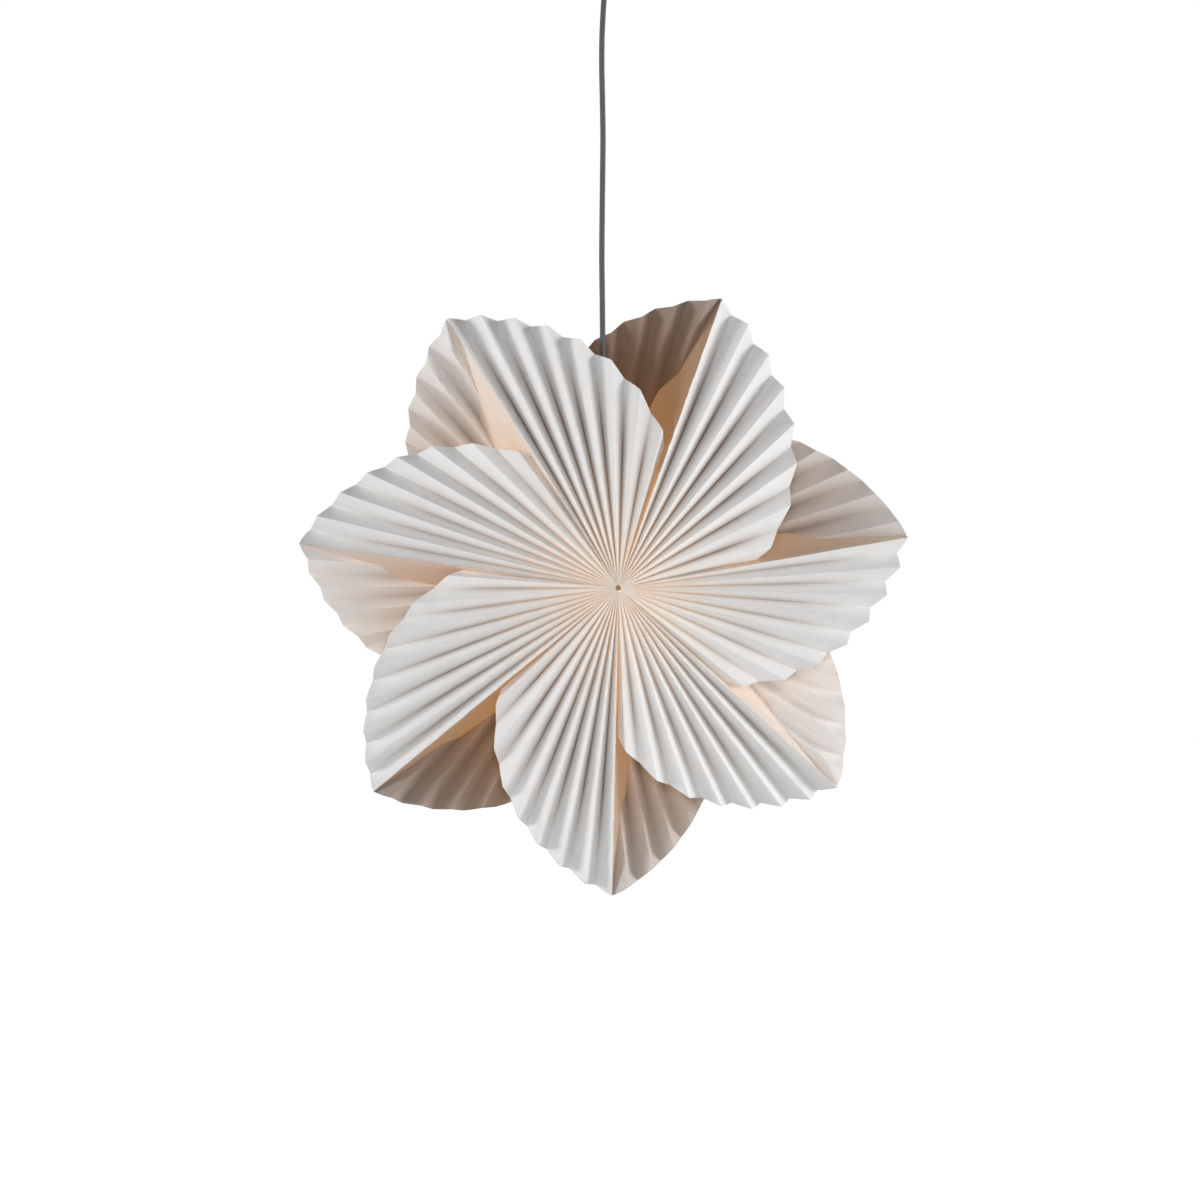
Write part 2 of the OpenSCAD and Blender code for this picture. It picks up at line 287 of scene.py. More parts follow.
def close_ends() -> None:
    """Fills each open round end of the active piece."""
    bpy.ops.object.mode_set(mode="EDIT")
    bpy.ops.mesh.select_all(action="SELECT")
    bpy.ops.mesh.fill_holes(sides=0)
    bpy.ops.mesh.normals_make_consistent(inside=False)
    bpy.ops.object.mode_set(mode="OBJECT")


def new_material(name: str) -> tuple[bpy.types.Material, bpy.types.NodeTree, bpy.types.Node]:
    """Makes a node material.

    Args:
        name: the material's name.

    Returns:
        The material, its node tree and its surface shader.
    """
    material = bpy.data.materials.new(name)
    material.use_nodes = True
    return material, material.node_tree, material.node_tree.nodes["Principled BSDF"]


def object_noise(tree: bpy.types.NodeTree, scale: float, detail: float) -> bpy.types.NodeSocket:
    """Adds a noise that stays with the piece.

    Args:
        tree: the node tree to add to.
        scale: how fine it is, per metre.
        detail: how many finer layers it has.

    Returns:
        A socket with its value, from 0 to 1.
    """
    place = tree.nodes.new("ShaderNodeTexCoord")
    grain = tree.nodes.new("ShaderNodeTexNoise")
    grain.inputs["Scale"].default_value = scale
    grain.inputs["Detail"].default_value = detail
    tree.links.new(place.outputs["Object"], grain.inputs["Vector"])
    return grain.outputs["Fac"]


def ramp(tree: bpy.types.NodeTree, value: bpy.types.NodeSocket,
         stops: list[tuple[float, Colour]]) -> bpy.types.NodeSocket:
    """Adds a colour ramp over a value.

    Args:
        tree: the node tree to add to.
        value: the socket that the colour follows.
        stops: place and colour of each stop, in order.

    Returns:
        A socket with the colour.
    """
    node = tree.nodes.new("ShaderNodeValToRGB")
    while len(node.color_ramp.elements) < len(stops):
        node.color_ramp.elements.new(0.5)
    for element, (position, colour) in zip(node.color_ramp.elements, stops):
        element.position = position
        element.color = colour
    tree.links.new(value, node.inputs["Fac"])
    return node.outputs["Color"]


def patches(tree: bpy.types.NodeTree, value: bpy.types.NodeSocket, low: Colour,
            high: Colour) -> bpy.types.NodeSocket:
    """Turns a noise into soft patches between two colours.

    Args:
        tree: the node tree to add to.
        value: the noise.
        low: colour of the patches.
        high: colour between them.

    Returns:
        A socket with the colour.
    """
    return ramp(tree, value, [(0.3, low), (0.7, high)])


def bump(tree: bpy.types.NodeTree, shader: bpy.types.Node, height: bpy.types.NodeSocket, strength: float,
         distance: float) -> None:
    """Lets a height shape the shader's surface.

    Args:
        tree: the node tree to add to.
        shader: the surface shader.
        height: the socket with the height.
        strength: share of the effect, from 0 to 1.
        distance: height that a value of 1 stands for, in metres.
    """
    node = tree.nodes.new("ShaderNodeBump")
    node.inputs["Strength"].default_value = strength
    node.inputs["Distance"].default_value = distance
    tree.links.new(height, node.inputs["Height"])
    tree.links.new(node.outputs["Normal"], shader.inputs["Normal"])


@dataclass(frozen=True)
class PaperFinish:
    """Uncoated white card, with warm painted lamp light and a painted glow where the lamp shines through it,
    and painted shade in its folds and dim insides. It follows the sheet's own tones.
    """

    name: str
    cold: Colour = (0.84, 0.835, 0.825, 1)
    # Painted lamp light: the card turns peach, then amber nearer the lamp.
    peach_lamp_light: Colour = (0.90, 0.73, 0.58, 1)
    amber_lamp_light: Colour = (0.78, 0.40, 0.14, 1)
    # Painted glow of the lamp's light through the card, peach then amber.
    peach_glow: Colour = (0.42, 0.24, 0.13, 1)
    amber_glow: Colour = (1.0, 0.46, 0.14, 1)
    peach_at: float = 0.45
    # Painted shade at the bottom of the folds.
    fold: Colour = (0.115, 0.064, 0.042, 1)
    # Painted shade of the dim inside of an arm.
    dim: Colour = (0.192, 0.100, 0.045, 1)
    # Painted glow of the room's light that comes through the sheet from outside.
    passed: Colour = (0.50, 0.43, 0.38, 1)
    glow_strength: float = 0.36
    roughness: float = 0.82
    specular: float = 0.25
    sheen: float = 0.08
    mottle: Colour = (0.965, 0.965, 0.965, 1)
    mottle_scale: float = 38.0
    fibre_scale: float = 900.0
    fibre_strength: float = 0.22
    fibre_height: float = 0.0004

    @staticmethod
    def layer(tree: bpy.types.NodeTree, below: bpy.types.NodeSocket, tone: Tone,
              colour: Colour) -> bpy.types.NodeSocket:
        """Lays a colour over another where the sheet's tone says so.

        Args:
            tree: the node tree to add to.
            below: the colour underneath.
            tone: the tone that says how much of the new colour covers it.
            colour: the new colour.

        Returns:
            A socket with the result.
        """
        mask = tree.nodes.new("ShaderNodeAttribute")
        mask.attribute_name = tone.value
        mix = tree.nodes.new("ShaderNodeMix")
        mix.data_type = "RGBA"
        tree.links.new(mask.outputs["Fac"], mix.inputs["Factor"])
        tree.links.new(below, mix.inputs[6])
        mix.inputs[7].default_value = colour
        return mix.outputs[2]

    def build(self) -> bpy.types.Material:
        """Makes the material."""
        material, tree, shader = new_material(self.name)
        warmth = tree.nodes.new("ShaderNodeAttribute")
        warmth.attribute_name = Tone.WARMTH.value
        painted_light_fac = warmth.outputs["Fac"]
        # The card's white under painted lamp light.
        tint = ramp(tree, painted_light_fac, [(0.0, self.cold), (self.peach_at, self.peach_lamp_light), (1.0, self.amber_lamp_light)])
        shade = patches(tree, object_noise(tree, self.mottle_scale, 4.0), self.mottle, WHITE)
        blend = tree.nodes.new("ShaderNodeMix")
        blend.data_type = "RGBA"
        blend.blend_type = "MULTIPLY"
        blend.inputs["Factor"].default_value = 1.0
        # Painted shade in the folds, then the painted shade of the arm's dim inside.
        crease_shaded = self.layer(tree, tint, Tone.CREASE, self.fold)
        tree.links.new(self.layer(tree, crease_shaded, Tone.DUSK, self.dim), blend.inputs[6])
        tree.links.new(shade, blend.inputs[7])
        tree.links.new(blend.outputs[2], shader.inputs["Base Color"])
        # Painted glow of the lamp's light, and of the room's light through the sheet.
        glow = ramp(tree, painted_light_fac, [(0.0, BLACK), (self.peach_at, self.peach_glow), (1.0, self.amber_glow)])
        tree.links.new(self.layer(tree, glow, Tone.THROUGH, self.passed), shader.inputs["Emission Color"])
        shader.inputs["Emission Strength"].default_value = self.glow_strength
        shader.inputs["Roughness"].default_value = self.roughness
        shader.inputs["Specular IOR Level"].default_value = self.specular
        shader.inputs["Sheen Weight"].default_value = self.sheen
        bump(tree, shader, object_noise(tree, self.fibre_scale, 5.0), self.fibre_strength, self.fibre_height)
        return material


@dataclass(frozen=True)
class PlainFinish:
    """A moulded, drawn or pressed surface with fine grain."""

    name: str
    colour: Colour
    roughness: float
    metallic: float = 0.0
    patch_scale: float = 55.0
    spread: float = 0.06
    grain_scale: float = 700.0
    grain_strength: float = 0.12
    grain_height: float = 0.0003
    emission: Colour = BLACK
    emission_strength: float = 0.0

    def build(self) -> bpy.types.Material:
        """Makes the material."""
        material, tree, shader = new_material(self.name)
        low = tuple(channel * (1 - self.spread) for channel in self.colour[:3]) + (1.0,)
        tint = patches(tree, object_noise(tree, self.patch_scale, 3.0), low, self.colour)
        tree.links.new(tint, shader.inputs["Base Color"])
        shader.inputs["Roughness"].default_value = self.roughness
        shader.inputs["Metallic"].default_value = self.metallic
        shader.inputs["Emission Color"].default_value = self.emission
        shader.inputs["Emission Strength"].default_value = self.emission_strength
        bump(tree, shader, object_noise(tree, self.grain_scale, 4.0), self.grain_strength, self.grain_height)
        return material


class Finishes:
    """Every finish of the lamp, made once."""

    def __init__(self) -> None:
        """Makes the materials."""
        self.paper_front = PaperFinish("paper_front").build()
        self.paper_back = PaperFinish("paper_back").build()
        self.holder = PlainFinish("holder_plastic", (0.055, 0.057, 0.062, 1), 0.5).build()
        self.grip = PlainFinish("grip_plastic", (0.08, 0.082, 0.088, 1), 0.42).build()
        self.cord = PlainFinish("cord_cover", (0.036, 0.037, 0.040, 1), 0.5, grain_scale=260.0).build()
        self.cup = PlainFinish("cup_plastic", (0.075, 0.077, 0.083, 1), 0.45).build()
        self.ceramic = PlainFinish("contact_block", (0.72, 0.68, 0.58, 1), 0.55).build()
        self.brass = PlainFinish("brass", (0.72, 0.50, 0.20, 1), 0.3, metallic=1.0).build()
        self.steel = PlainFinish("wire_steel", (0.27, 0.27, 0.28, 1), 0.36, metallic=1.0, grain_scale=420.0,
                                 grain_strength=0.2).build()
        self.thread = PlainFinish("waxed_thread", (0.34, 0.20, 0.105, 1), 0.75, spread=0.3,
                                  grain_scale=1400.0, grain_strength=0.6).build()
        self.bulb = PlainFinish("bulb_opal", (0.92, 0.88, 0.80, 1), 0.3, emission=(1.0, 0.60, 0.27, 1),
                                emission_strength=14.0).build()


@dataclass(frozen=True)
class ArmTone:
    """How much lamp light and shade one arm shows, read from the photograph.

    Attributes:
        lamp_heat: painted lamp light on the flap, at its start.
        inner_dusk: painted shade of the sheets' dim inner sides.
        inner_fold: depth of the folds' painted shade inside, which may be more than 1 because it is cut off
            there.
        inner_heat: painted lamp light on the inner sides.
        flap_dusk: painted shade of the dim flap.
        seam_heat: painted lamp light along the seam strip.
        fold_shade: depth of the folds' painted shade outside.
        passed_light: painted glow of room light that comes through the sheets from outside.
    """

    lamp_heat: float
    inner_dusk: float
    inner_fold: float
    inner_heat: float
    flap_dusk: float
    seam_heat: float
    fold_shade: float
    passed_light: float


# Painted lamp light and shade, one set for each arm, counter-clockwise from the right-hand tip.
ARM_TONES = (
    ArmTone(0.6, 0.3, 1.5, 0.0, 0.5, 0.1, 0.6, 0.38),
    ArmTone(0.88, 1.0, 0.7, 0.1, 1.0, 0.7, 1.0, 0.0),
    ArmTone(0.24, 0.12, 0.7, 0.03, 0.1, 0.05, 1.0, 0.25),
    ArmTone(0.34, 0.04, 0.75, 0.04, 0.28, 0.05, 0.6, 0.55),
    ArmTone(0.95, 0.84, 1.0, 0.2, 0.9, 0.35, 0.7, 0.0),
    ArmTone(0.8, 0.48, 0.8, 0.14, 0.8, 0.75, 1.0, 0.1),
    ArmTone(0.2, 0.0, 0.1, 0.0, 0.05, 0.15, 0.7, 0.5),
)


@dataclass(frozen=True)
class PaperLight:
    """How painted lamp light and painted shade spread over a sheet's colour. Reaches are in millimetres, the
    rest are shares.
    """

    hub_glow: float = 0.24
    hub_reach: float = 62.0
    hub_power: float = 1.5
    hub_clear: float = 24.0
    valley_glow: float = 0.34
    valley_reach: float = 110.0
    rim_fade: float = 0.4
    rim_shade: float = 0.12
    added_shade: float = 0.83
    shade_clear: float = 22.0
    outer_power: int = 4
    inner_power: float = 1.5
    flap_least: float = 0.1
    flap_power: float = 0.8
    flap_ridge: float = 0.7
    tip_dusk: float = 0.78
    seam_crease_shade: float = 0.35
    inner_crease: float = 0.4
    inner_fade: float = 0.25

    def painted_fan_light(self, radius: float, depth: float) -> float:
        """How much painted lamp light the fan's colour carries, where the lamp's light comes through it.

        Args:
            radius: distance from the star's axis.
            depth: 0 on a ridge fold, 1 in a valley fold.

        Returns:
            The tone, from 0 to 1.
        """
        near = math.exp(-((radius / self.hub_reach) ** self.hub_power)) * min(1.0, radius / self.hub_clear)
        valley = math.exp(-((radius / self.valley_reach) ** 2)) * depth**2
        return min(1.0, self.hub_glow * near + self.valley_glow * valley)

    def fold_tone(self, arm: ArmTone, share: float, radius: float) -> float:
        """How dark the painted shade at the bottom of a fold is.

        Args:
            arm: the arm's own tones.
            share: share of the way from the hub to the rim.
            radius: distance from the star's axis.

        Returns:
            The tone, from 0 to 1.
        """
        inward = min(1.0, (1 - share) / self.rim_fade)
        along = self.rim_shade + self.added_shade * inward * inward * (3 - 2 * inward)
        return along * arm.fold_shade * (0.5 + 0.5 * min(1.0, radius / self.shade_clear))

    def painted_flap_light(self, arm: ArmTone, inward: float, share: float) -> float:
        """How much painted lamp light the flap's colour carries, where the lamp's light falls on it.

        Args:
            arm: the arm's own tones.
            inward: 0 at the arm's tip, 1 at the flap's start.
            share: 0 on the ridge, 1 on the flap's free edge.

        Returns:
            The tone, from 0 to 1.
        """
        across = self.flap_ridge + (1 - self.flap_ridge) * share
        return min(1.0, self.flap_least + arm.lamp_heat * inward**self.flap_power * across)


@dataclass(frozen=True)
class Ripple:
    """A slow wave of the paper: radians for each millimetre outwards and for each line, and its height."""

    along: float
    across: float
    height: float


@dataclass(frozen=True)
class FanLine:
    """A line from the hub over a fan.

    Attributes:
        run: its way for each millimetre of radius, in the sheet's own frame.
        rim: radius of its outer end.
        depth: 0 on a ridge fold, 1 in a valley fold.
    """

    run: Vector
    rim: float
    depth: float


@dataclass
class PaperSheet:
    """One folded sheet: a pleated fan, creased along its ridge, and the flat flap beyond the crease.

    Attributes:
        arm: number of the arm, from 0.
        side: half of the star that the sheet belongs to.
        across_panel: places of the lines over one panel, as shares of its width.
        across_flap: places of the lines over the flap, from the ridge to its free edge.
        crease_round: how far a fold is drawn towards the lines beside it.
        teeth: how far a ridge fold reaches past the rim, and a valley fold stays behind it.
        belly: bulge of a panel, as a share of its width.
        rows: rows from the hub to the rim, closer together at the hub by row_power.
        least_row: rows nearer than this share of the way are left out.
        flap_step: length of the step from the seam strip to the flap.
        seam_before: how far past the flap's start the seam strip's tones begin.
        seam_blend: length over which they come in.
        seam_least: least depth of the seam strip, as a share of its full depth.
    """

    arm: int
    side: Side
    plan: StarPlan = PLAN
    light: PaperLight = PaperLight()
    across_panel: tuple[float, ...] = (0.0, 0.05, 0.18, 0.5, 0.82, 0.95)
    across_flap: tuple[float, ...] = (0.0, 0.02, 0.12, 0.3, 0.55, 0.8, 1.0)
    ripples: tuple[Ripple, ...] = (Ripple(0.021, 0.31, 0.35), Ripple(0.047, -0.19, 0.2))
    crease_round: float = 0.24
    teeth: tuple[tuple[Side, float], ...] = ((Side.FRONT, 2.6), (Side.BACK, 1.5))
    belly: float = 0.04
    rows: int = 30
    row_power: float = 1.25
    least_row: float = 0.008
    flap_step: float = 0.3
    seam_before: float = 10.0
    seam_blend: float = 34.0
    seam_least: float = 0.1
    weld: float = 2e-5
    smooth_angle: float = 24.0

    @property
    def name(self) -> str:
        """Name of the node that this sheet stands for."""
        return f"{self.side.value}_fan_{self.arm + 1}"

    @property
    def tones(self) -> ArmTone:
        """The arm's own tones."""
        return ARM_TONES[self.arm]

    @property
    def reach(self) -> float:
        """Length of the ridge, from the hub's hole to the tip."""
        return self.plan.tip_radius - self.plan.hub_hole

    def gaps(self) -> tuple[float, float]:
        """Angle gap of this sheet's fan, and of the opposite sheet's."""
        gaps = (self.plan.gap_before(self.arm), self.plan.gap_after(self.arm))
        return gaps if self.side is Side.FRONT else (gaps[1], gaps[0])

    def fan_lines(self, gap: float) -> list[FanLine]:
        """Lines from the hub over the fan, in order from the ridge.

        Args:
            gap: angle gap that the fan fills.

        Returns:
            The lines, with their folds softened and their panels bulged.
        """
        folds = self.plan.folds(gap)
        marks = [(panel, share) for panel in range(len(folds) - 1) for share in self.across_panel]
        marks.append((len(folds) - 2, 1.0))
        turns = [math.radians(angle) for angle, _ in folds]
        ways = [Vector((math.cos(turn), -math.sin(turn), -fold[1])) for turn, fold in zip(turns, folds)]
        runs = []
        for panel, share in marks:
            start, end = ways[panel], ways[panel + 1]
            run = start.lerp(end, share)
            outwards = 1 if panel % 2 else -1
            run.z += 4 * share * (1 - share) * self.belly * outwards * (end - start).length
            runs.append(run)
        lines = []
        for place, (panel, share) in enumerate(marks):
            run = runs[place].copy()
            if share == 0.0 and 0 < panel:
                run = run.lerp((runs[place - 1] + runs[place + 1]) / 2, self.crease_round)
            angle = folds[panel][0] + (folds[panel + 1][0] - folds[panel][0]) * share
            depth = share if panel % 2 == 0 else 1 - share
            tooth = dict(self.teeth)[self.side] * (1 - 2 * depth) * min(1.0, place / len(self.across_panel))
            lines.append(FanLine(run, self.plan.rim(gap, angle) + tooth, depth))
        return lines

    def stations(self, edge: list[Vector]) -> list[float]:
        """Finds the rows of the sheet.

        Args:
            edge: corners of the flap's free edge, each of which gets a row.

        Returns:
            Their shares of the way from the hub to the rim.
        """
        shares = {round((row / self.rows) ** self.row_power, 6) for row in range(self.rows + 1)}
        outs = [corner.x for corner in edge] + [self.plan.flap_start - self.flap_step]
        wanted = {round((out - self.plan.hub_hole) / self.reach, 6) for out in outs}
        ordered = sorted(share for share in shares | wanted if 0 <= share <= 1)
        kept = [ordered[0]]
        for share in ordered[1:]:
            if share - kept[-1] > self.least_row or share in wanted:
                kept.append(share)
        return kept

    def build(self, material: bpy.types.Material) -> bpy.types.Object:
        """Models the sheet and dresses it.

        Args:
            material: the paper's finish.

        Returns:
            The finished sheet.
        """
        gap, opposite = self.gaps()
        edge = self.plan.flap_edge(opposite)
        stations = self.stations(edge)
        piece = self.build_fan(self.fan_lines(gap), stations)
        flap = self.build_flap(edge, stations)
        select_only(piece)
        flap.select_set(True)
        bpy.ops.object.join()
        merge_and_face_out(self.weld)
        self.face_out(piece)
        outer = len(piece.data.vertices)
        apply_modifier(piece, "SOLIDIFY", thickness=self.plan.paper * MM, offset=-1.0, use_even_offset=True,
                       thickness_clamp=2.0)
        self.store_inner_tones(piece, outer)
        bpy.ops.object.shade_smooth_by_angle(angle=math.radians(self.smooth_angle))
        piece.data.materials.clear()
        piece.data.materials.append(material)
        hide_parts(self.name)
        piece.name = piece.data.name = self.name + "_paper"
        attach(piece, ROOT)
        return piece

    def build_fan(self, lines: list[FanLine], stations: list[float]) -> bpy.types.Object:
        """Models the pleated fan.

        Args:
            lines: its lines from the hub, in order from the ridge.
            stations: the rows' shares of the way to the rim.

        Returns:
            The fan, without its thickness.
        """
        plan, light = self.plan, self.light
        fan = self.add_grid(len(lines), len(stations))
        points: list[Vector] = []
        tones: dict[Tone, list[float]] = {Tone.WARMTH: [], Tone.CREASE: [], Tone.INNER_CREASE: []}
        wave = random.Random(self.arm * 2 + (self.side is Side.BACK))
        phases = [wave.uniform(0, FULL_TURN) for _ in self.ripples]
        for share in stations:
            for place, line in enumerate(lines):
                radius = plan.hub_hole + (line.rim - plan.hub_hole) * share
                point = line.run * radius
                point.z += plan.hub_half_depth
                if place > 0:
                    ripple = sum(
                        math.sin(radius * wave.along + place * wave.across + phase) * wave.height
                        for wave, phase in zip(self.ripples, phases)
                    )
                    point.z += ripple * (radius / plan.tip_radius)
                points.append(point)
                # Painted lamp light, and painted shade at the bottoms of the folds on the outer and the inner
                # side.
                shade = light.fold_tone(self.tones, share, radius)
                tones[Tone.WARMTH].append(light.painted_fan_light(radius, line.depth))
                tones[Tone.CREASE].append(line.depth**light.outer_power * shade)
                tones[Tone.INNER_CREASE].append((1 - line.depth) ** light.inner_power * shade)
        self.place_points(fan, points, tones)
        return fan

    def build_flap(self, edge: list[Vector], stations: list[float]) -> bpy.types.Object:
        """Models the flat flap between the ridge and its seat on the opposite sheet.

        Inwards of its start it is a seam strip, which narrows towards the hub.

        Args:
            edge: corners of its free edge.
            stations: the rows' shares of the way along the ridge.

        Returns:
            The flap, without its thickness.
        """
        plan, light, arm = self.plan, self.light, self.tones
        flap = self.add_grid(len(self.across_flap), len(stations))
        points: list[Vector] = []
        tones: dict[Tone, list[float]] = {Tone.WARMTH: [], Tone.CREASE: [], Tone.DUSK: []}
        for station in stations:
            out = plan.hub_hole + self.reach * station
            inward = min(1.0, max(0.0, (plan.tip_radius - out) / (plan.tip_radius - plan.flap_start)))
            seam = min(1.0, max(0.0, (plan.flap_start + self.seam_before - out) / self.seam_blend))
            ridge = Vector((out, 0.0, plan.hub_half_depth - plan.slope * out))
            seat = self.seat_at(edge, ridge)
            for share in self.across_flap:
                points.append(ridge.lerp(seat, share))
                # Painted lamp light on the flap and seam strip, painted shade in the seam strip and on the dim
                # flap.
                warmth = light.painted_flap_light(arm, inward, share)
                dusk = light.tip_dusk + (1 - light.tip_dusk) * inward
                tones[Tone.WARMTH].append(warmth + (arm.seam_heat - warmth) * seam)
                tones[Tone.CREASE].append(light.seam_crease_shade * arm.fold_shade * seam)
                tones[Tone.DUSK].append(arm.flap_dusk * dusk * (1 - seam))
        self.place_points(flap, points, tones)
        return flap

    def seat_at(self, edge: list[Vector], ridge: Vector) -> Vector:
        """Finds the flap's or the seam strip's free edge.

        Args:
            edge: corners of the flap's free edge, from the tip inwards.
            ridge: the ridge's point of the same row.

        Returns:
            The edge's point of that row.
        """
        plan, out, slack = self.plan, ridge.x, 1e-3
        if out < plan.flap_start - 0.01:
            share = max(self.seam_least, (out - plan.hub_hole) / (plan.flap_start - plan.hub_hole))
            depth = plan.seam_depth * share
            return ridge + Vector((0.0, plan.flap_lean * depth, -depth))
        for outer, inner in zip(edge, edge[1:]):
            if inner.x - slack <= out <= outer.x + slack:
                return cut_at(outer, inner, out)
        return edge[-1].copy()

    def store_inner_tones(self, piece: bpy.types.Object, outer: int) -> None:
        """Stores the inner side's own painted shade, painted lamp light and painted glow: only the vertices
        that the thickness added lie there.

        Args:
            piece: the sheet, with its thickness.
            outer: how many vertices it had before.
        """
        layers, arm, light = piece.data.attributes, self.tones, self.light
        warmth, crease, inner_crease, dusk, through = (layers[tone.value].data for tone in Tone)
        hub = Vector((0.0, 0.0, -self.plan.drop * MM))
        for vertex in piece.data.vertices[outer:]:
            index = vertex.index
            away = min(1.0, (vertex.co - hub).length / MM / self.plan.tip_radius)
            # Painted shade in the inner folds and the dim inside, painted lamp light towards the hub, and a
            # painted glow of room light.
            deep = min(1.0, inner_crease[index].value * arm.inner_fold)
            dim = arm.inner_dusk * (1.0 - light.inner_fade * away**3)
            dusk[index].value = dim + (1.0 - dim) * deep
            crease[index].value = light.inner_crease * deep
            warmth[index].value += arm.inner_heat * (1.0 - away**3)
            through[index].value = arm.passed_light
        layers.remove(layers[Tone.INNER_CREASE.value])

    def add_grid(self, across: int, rows: int) -> bpy.types.Object:
        """Adds a flat grid.

        Args:
            across: how many lines it has.
            rows: how many rows it has.

        Returns:
            The grid.
        """
        deselect()
        bpy.ops.mesh.primitive_grid_add(x_subdivisions=across - 1, y_subdivisions=rows - 1, size=1.0)
        return bpy.context.object

    def place_points(self, piece: bpy.types.Object, points: list[Vector],
                     tones: dict[Tone, list[float]]) -> None:
        """Folds a flat grid to its points and stores its tones on it.

        Args:
            piece: the grid.
            points: a point for each of its vertices, in the sheet's own frame.
            tones: a value for each vertex. A tone that isn't given is 0 all over.
        """
        for vertex, point in zip(piece.data.vertices, points, strict=True):
            vertex.co = self.plan.to_world(point, self.arm, self.side)
        for tone in Tone:
            layer = piece.data.attributes.new(tone.value, "FLOAT", "POINT")
            for index, value in enumerate(tones.get(tone, [])):
                layer.data[index].value = value
        while piece.data.uv_layers:
            piece.data.uv_layers.remove(piece.data.uv_layers[0])

    def face_out(self, piece: bpy.types.Object) -> None:
        """Turns the sheet's faces so that the outer side of the star is their front.

        Args:
            piece: the sheet, without its thickness.
        """
        towards = -1.0 if self.side is Side.FRONT else 1.0
        facing = sum(face.normal.y * face.area for face in piece.data.polygons) * towards
        if facing < 0:
            select_only(piece)
            bpy.ops.object.mode_set(mode="EDIT")
            bpy.ops.mesh.select_all(action="SELECT")
            bpy.ops.mesh.flip_normals()
            bpy.ops.object.mode_set(mode="OBJECT")


@dataclass(frozen=True)
class Band:
    """A ring on a turned surface, or a groove where its rise is below 0, in millimetres.

    Attributes:
        rise: how far it stands out.
        begins: height of its crest's lower edge above its base.
        ends: height of its crest's upper edge.
        width: height of its upper end.
    """

    rise: float
    begins: float
    ends: float
    width: float

    def steps(self, radius: float, base: float) -> Profile:
        """Profile of one ring on a surface of this radius, from its base up."""
        crest = radius + self.rise
        low, high = base + self.begins, base + self.ends
        return [(radius, base), (crest, low), (crest, high), (radius, base + self.width)]


def own(piece: bpy.types.Object, node: str, material: bpy.types.Material) -> bpy.types.Object:
    """Lets a piece stand for its node.

    Args:
        piece: the finished piece.
        node: name of the node that it replaces.
        material: its finish.

    Returns:
        The same piece.
    """
    piece.data.materials.clear()
    piece.data.materials.append(material)
    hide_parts(node)
    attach(piece, ROOT)
    return piece


@dataclass
class Lampholder:
    """The cord lampholder inside the star, which holds the bulb. Heights count from the star's axis."""

    finishes: Finishes
    mouth: float = 34.0
    body_length: float = 36.0
    body_radius: float = 14.0
    mouth_round: tuple[float, float] = (0.5, 0.6)
    wall: float = 2.0
    rib: Band = Band(0.6, 0.35, 0.85, 1.2)
    rib_places: tuple[int, ...] = (6, 9, 12, 15, 18)
    cap_length: float = 22.0
    cap_straight: float = 0.45
    cap_steps: int = 8
    neck_wall: float = 1.0
    neck_round: float = 0.6
    grip_radius: float = 6.0
    grip_length: float = 10.0
    groove: Band = Band(-0.4, 0.3, 0.7, 1.0)
    groove_count: int = 4
    groove_start: float = 1.2
    groove_pitch: float = 1.6
    cord_hole: float = 2.95

    @property
    def floor(self) -> float:
        """Height of the body's top."""
        return self.mouth + self.body_length

    def build_body(self) -> bpy.types.Object:
        """Models the ribbed body."""
        outer, inner = self.body_radius, self.body_radius - self.wall
        inset, rise = self.mouth_round
        profile = [(inner, self.mouth), (outer - inset, self.mouth), (outer, self.mouth + rise)]
        for place in self.rib_places:
            profile += self.rib.steps(outer, self.mouth + place)
        profile += [(outer, self.floor), (inner, self.floor), (inner, self.mouth)]
        return self.dress("holder_body", profile, self.finishes.holder)

    def build_cap(self) -> bpy.types.Object:
        """Models the tapered cap."""
        low, high = self.floor, self.floor + self.cap_length
        shoulder = low + self.cap_length * self.cap_straight
        outer, inner = self.body_radius, self.body_radius - self.wall
        neck = self.grip_radius + self.neck_wall
        profile = [(inner, low), (outer, low), (outer, shoulder - 1)]
        for step in range(self.cap_steps + 1):
            share = step / self.cap_steps
            rise = (high - self.neck_round - shoulder) * share
            profile.append((outer + (neck - outer) * share, shoulder + rise))
        profile += [(neck - self.neck_round, high), (self.cord_hole, high), (self.cord_hole, shoulder)]
        profile += [(inner, shoulder), (inner, low)]
        return self.dress("holder_cap", profile, self.finishes.holder)

    def build_grip(self) -> bpy.types.Object:
        """Models the cord grip, with its grooves."""
        low = self.floor + self.cap_length
        high = low + self.grip_length
        profile = [(self.cord_hole, low), (self.grip_radius, low)]
        for place in range(self.groove_count):
            profile += self.groove.steps(self.grip_radius, low + self.groove_start + place * self.groove_pitch)
        profile += [(self.grip_radius, high - 2), (self.grip_radius - 1, high)]
        profile += [(self.cord_hole, high), (self.cord_hole, low)]
        return self.dress("cord_grip", profile, self.finishes.grip)

    def dress(self, node: str, profile: Profile, material: bpy.types.Material) -> bpy.types.Object:
        """Turns one hollow piece of the holder and gives it its finish.

        Args:
            node: name of the node that it replaces.
            profile: radius and height of each step.
            material: its finish.

        Returns:
            The finished piece.
        """
        placed = [(radius, height - PLAN.drop) for radius, height in profile]
        return own(turned(node + "_turned", placed, hollow=True), node, material)

    def build(self) -> list[bpy.types.Object]:
        """Models every piece of the holder."""
        return [self.build_body(), self.build_cap(), self.build_grip()]


